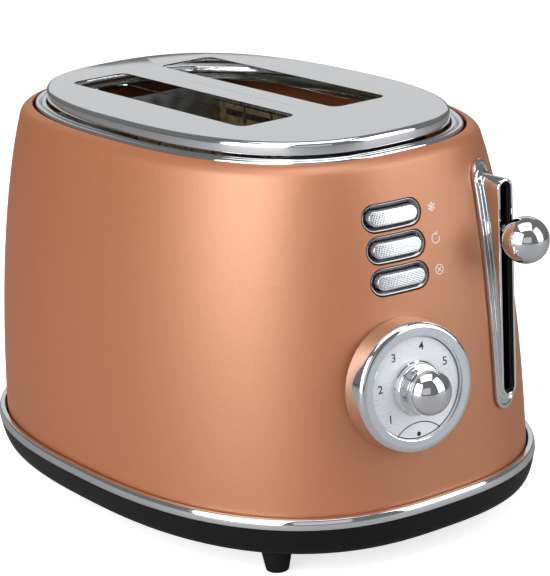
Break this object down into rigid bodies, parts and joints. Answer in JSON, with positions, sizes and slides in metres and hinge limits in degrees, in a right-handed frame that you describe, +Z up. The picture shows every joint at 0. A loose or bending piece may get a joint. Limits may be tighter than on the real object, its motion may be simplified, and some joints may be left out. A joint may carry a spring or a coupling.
{
  "type": "pop-up toaster",
  "caption": "Two-slot pop-up toaster with an oval copper body, chrome trim, side lever, push buttons and a browning dial.",
  "frame": {"origin": "middle of the bounding box, on the surface that the four feet stand on", "axes": "+Z up, +X towards the control end with the lever and the dial, the bread slots run along X, the crumb tray leaves at -X"},
  "size_m": [0.3144, 0.2092, 0.1894],
  "materials": {
    "copper_paint": "satin metallic paint",
    "chrome": "polished",
    "black_plastic": "satin",
    "foot_rubber": "matt",
    "button_cap": "silver, dotted",
    "dial_face": "satin silver with printed numbers",
    "galvanised_sheet": "zinc",
    "bright_steel": "nickel plated",
    "mica": "flaked",
    "heating_wire": "oxidised",
    "circuit_board": "solder mask",
    "enamelled_copper": "varnished winding",
    "live_sleeve": "satin",
    "neutral_sleeve": "satin"
  },
  "bodies": {
    "body": {"base_shell": "black_plastic", "base_band": "chrome", "foot_control_end_front": "foot_rubber", "foot_control_end_rear": "foot_rubber", "foot_tray_end_front": "foot_rubber", "foot_tray_end_rear": "foot_rubber", "base_screw_1": "bright_steel", "base_screw_2": "bright_steel", "base_screw_3": "bright_steel", "base_screw_4": "bright_steel", "cord_gland": "foot_rubber", "outer_shell": "copper_paint", "top_plate": "chrome", "top_trim_ring": "chrome", "bulkhead_rear": "galvanised_sheet", "bulkhead_control": "galvanised_sheet", "side_panel_front": "galvanised_sheet", "side_panel_rear": "galvanised_sheet", "heating_card_front": "mica", "heating_card_centre": "mica", "heating_card_rear": "mica", "heating_ribbon_front_outer": "heating_wire", "heating_ribbon_front_inner": "heating_wire", "heating_ribbon_rear_outer": "heating_wire", "heating_ribbon_rear_inner": "heating_wire", "guide_rod": "bright_steel", "lift_spring": "bright_steel", "latch_magnet_core": "galvanised_sheet", "latch_magnet_coil": "enamelled_copper", "power_switch": "black_plastic", "terminal_block": "button_cap", "lead_live": "live_sleeve", "lead_neutral": "neutral_sleeve", "control_board": "circuit_board", "board_bracket": "galvanised_sheet", "button_frame": "chrome", "dial_bezel": "chrome", "dial_face": "dial_face", "browning_pot": "black_plastic", "lever_escutcheon": "chrome", "lever_slot_liner": "black_plastic"},
    "carriage": {"bread_rack_front": "bright_steel", "bread_rack_rear": "bright_steel", "carriage_bracket": "galvanised_sheet", "lever_arm": "bright_steel", "lever_knob": "chrome", "latch_armature": "bright_steel"},
    "guide_front_outer": {"bread_guide_front_outer": "bright_steel"},
    "guide_front_inner": {"bread_guide_front_inner": "bright_steel"},
    "guide_rear_outer": {"bread_guide_rear_outer": "bright_steel"},
    "guide_rear_inner": {"bread_guide_rear_inner": "bright_steel"},
    "defrost_button": {"button_defrost": "button_cap"},
    "reheat_button": {"button_reheat": "button_cap"},
    "cancel_button": {"button_cancel": "button_cap"},
    "browning_control": {"browning_knob": "chrome", "pot_shaft": "bright_steel"},
    "tray": {"crumb_tray": "galvanised_sheet", "crumb_tray_handle": "black_plastic"}
  },
  "joints": [
    {"name": "lever_slide", "type": "slide", "parent": "body", "child": "carriage", "axis": [0, 0, 1], "range_m": [-0.064, 0.016], "stiffness_N_per_m": 100, "springref_m": 0.0123, "deforming": ["lift_spring"]},
    {"name": "guide_front_outer_tilt", "type": "hinge", "parent": "body", "child": "guide_front_outer", "pos_m": [0, -0.0431, 0.038], "axis": [1, 0, 0], "range_deg": [-4.2, 1.2]},
    {"name": "guide_front_inner_tilt", "type": "hinge", "parent": "body", "child": "guide_front_inner", "pos_m": [0, -0.0087, 0.038], "axis": [1, 0, 0], "range_deg": [-1.2, 4.2]},
    {"name": "guide_rear_outer_tilt", "type": "hinge", "parent": "body", "child": "guide_rear_outer", "pos_m": [0, 0.0431, 0.038], "axis": [1, 0, 0], "range_deg": [-1.2, 4.2]},
    {"name": "guide_rear_inner_tilt", "type": "hinge", "parent": "body", "child": "guide_rear_inner", "pos_m": [0, 0.0087, 0.038], "axis": [1, 0, 0], "range_deg": [-4.2, 1.2]},
    {"name": "defrost_press", "type": "slide", "parent": "body", "child": "defrost_button", "axis": [-1, 0, 0], "range_m": [0, 0.0018], "stiffness_N_per_m": 600, "springref_m": -0.001},
    {"name": "reheat_press", "type": "slide", "parent": "body", "child": "reheat_button", "axis": [-1, 0, 0], "range_m": [0, 0.0018], "stiffness_N_per_m": 600, "springref_m": -0.001},
    {"name": "cancel_press", "type": "slide", "parent": "body", "child": "cancel_button", "axis": [-1, 0, 0], "range_m": [0, 0.0018], "stiffness_N_per_m": 600, "springref_m": -0.001},
    {"name": "browning_turn", "type": "hinge", "parent": "body", "child": "browning_control", "pos_m": [0.12971, -0.0192, 0.085], "axis": [0.9923, -0.102, 0.0706], "range_deg": [-135, 135]},
    {"name": "tray_slide", "type": "slide", "parent": "body", "child": "tray", "axis": [-1, 0, 0], "range_m": [0, 0.18]}
  ],
  "couplings": [
    {"joint": "guide_front_outer_tilt", "follows": "lever_slide", "rad_per_m": 1.09},
    {"joint": "guide_front_inner_tilt", "follows": "lever_slide", "rad_per_m": -1.09},
    {"joint": "guide_rear_outer_tilt", "follows": "lever_slide", "rad_per_m": -1.09},
    {"joint": "guide_rear_inner_tilt", "follows": "lever_slide", "rad_per_m": 1.09}
  ]
}
